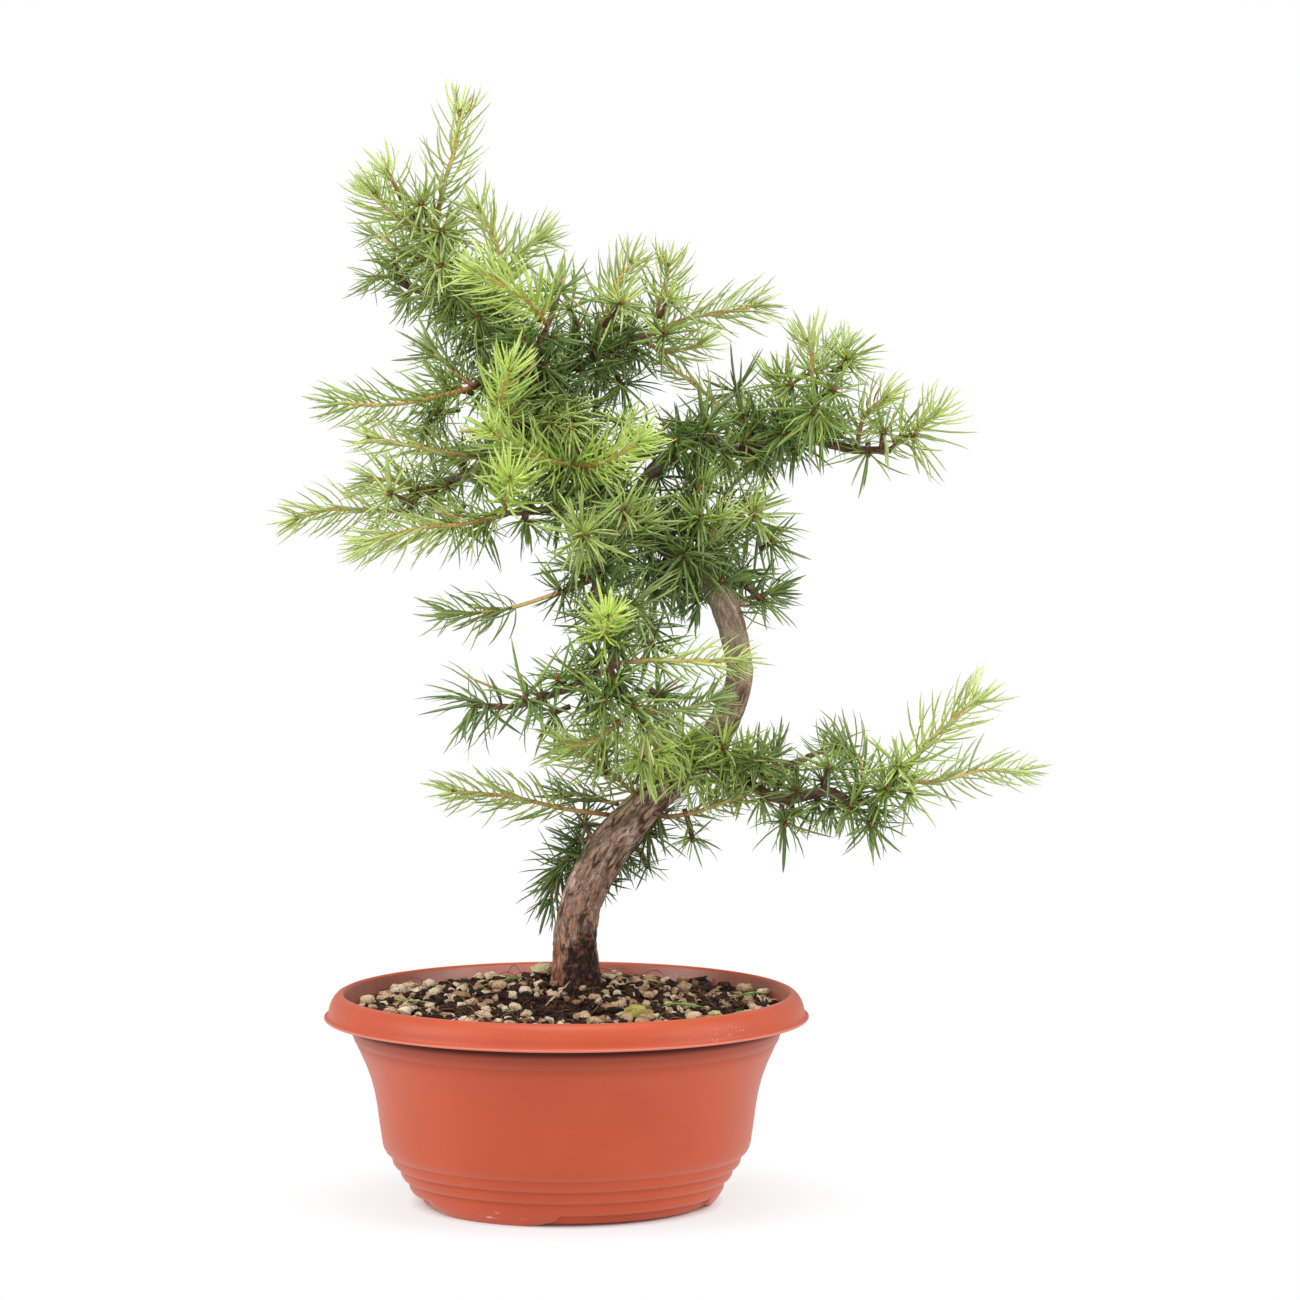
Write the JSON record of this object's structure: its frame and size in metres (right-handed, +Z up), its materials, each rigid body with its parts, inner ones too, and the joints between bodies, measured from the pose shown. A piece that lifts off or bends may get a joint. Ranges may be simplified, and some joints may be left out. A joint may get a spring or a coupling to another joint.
{
  "type": "larch bonsai",
  "caption": "Young larch trained as an informal upright bonsai: a trunk that bends right and swings back left over a round plastic growing pot, with needle shoots and spurs on slim limbs.",
  "frame": {"origin": "centre of the flat underside of the pot floor; the three feet reach 1.2 mm below it", "axes": "+Z up; the tree faces -Y, its trunk leans to +X and its crown swings back to -X"},
  "size_m": [0.3694, 0.2218, 0.5255],
  "materials": {
    "pot": "satin",
    "soil": "matte",
    "wood": "matte",
    "needles_bright": "satin",
    "needles_light": "satin",
    "needles_mid": "satin",
    "needles_dark": "satin"
  },
  "bodies": {
    "root": {"pot": "pot", "soil": "soil", "wood": "wood", "shoot_brush_front": "needles_bright", "shoot_centre_front": "needles_bright", "shoot_crown_back": "needles_light", "shoot_crown_front": "needles_bright", "shoot_crown_left_back": "needles_mid", "shoot_crown_left_high": "needles_light", "shoot_crown_left_low": "needles_mid", "shoot_crown_middle": "needles_light", "shoot_hanging_bright": "needles_bright", "shoot_hanging_left": "needles_mid", "shoot_hanging_low_left": "needles_dark", "shoot_hanging_right": "needles_bright", "shoot_hanging_tip": "needles_mid", "shoot_hanging_under": "needles_mid", "shoot_high_right_end": "needles_light", "shoot_high_right_low": "needles_light", "shoot_high_right_upper": "needles_light", "shoot_leader": "needles_light", "shoot_left_end": "needles_light", "shoot_left_front": "needles_light", "shoot_left_low": "needles_light", "shoot_left_middle": "needles_mid", "shoot_left_middle_back": "needles_mid", "shoot_low_back": "needles_dark", "shoot_low_left": "needles_light", "shoot_lower_right_end": "needles_light", "shoot_lower_right_mid": "needles_mid", "shoot_lower_right_up": "needles_light", "shoot_right_middle_end": "needles_light", "shoot_right_middle_inner": "needles_mid", "shoot_right_upper_back": "needles_light", "shoot_right_upper_end": "needles_light", "shoot_thin_twig": "needles_light", "shoot_trunk_right": "needles_dark", "shoots_centre_pair": "needles_bright", "shoots_hanging_upper": "needles_mid", "shoots_high_right_inner": "needles_light", "shoots_low_front": "needles_mid", "shoots_right_middle_low": "needles_mid", "shoots_right_upper_top": "needles_light", "spur_centre_back": "needles_bright", "spur_crown_front": "needles_mid", "spur_hanging_low": "needles_mid", "spur_low_back": "needles_dark", "spur_lower_right_back": "needles_dark", "spur_lower_right_end": "needles_bright", "spur_lower_right_low": "needles_dark", "spur_lower_right_root": "needles_dark", "spur_lower_right_under": "needles_dark", "spur_right_upper_back": "needles_dark", "spur_right_upper_front": "needles_mid", "spur_right_upper_mid": "needles_dark", "spur_right_upper_root": "needles_dark", "spur_trunk_back": "needles_mid", "spur_trunk_bend": "needles_mid", "spur_trunk_front": "needles_dark"}
  },
  "joints": []
}
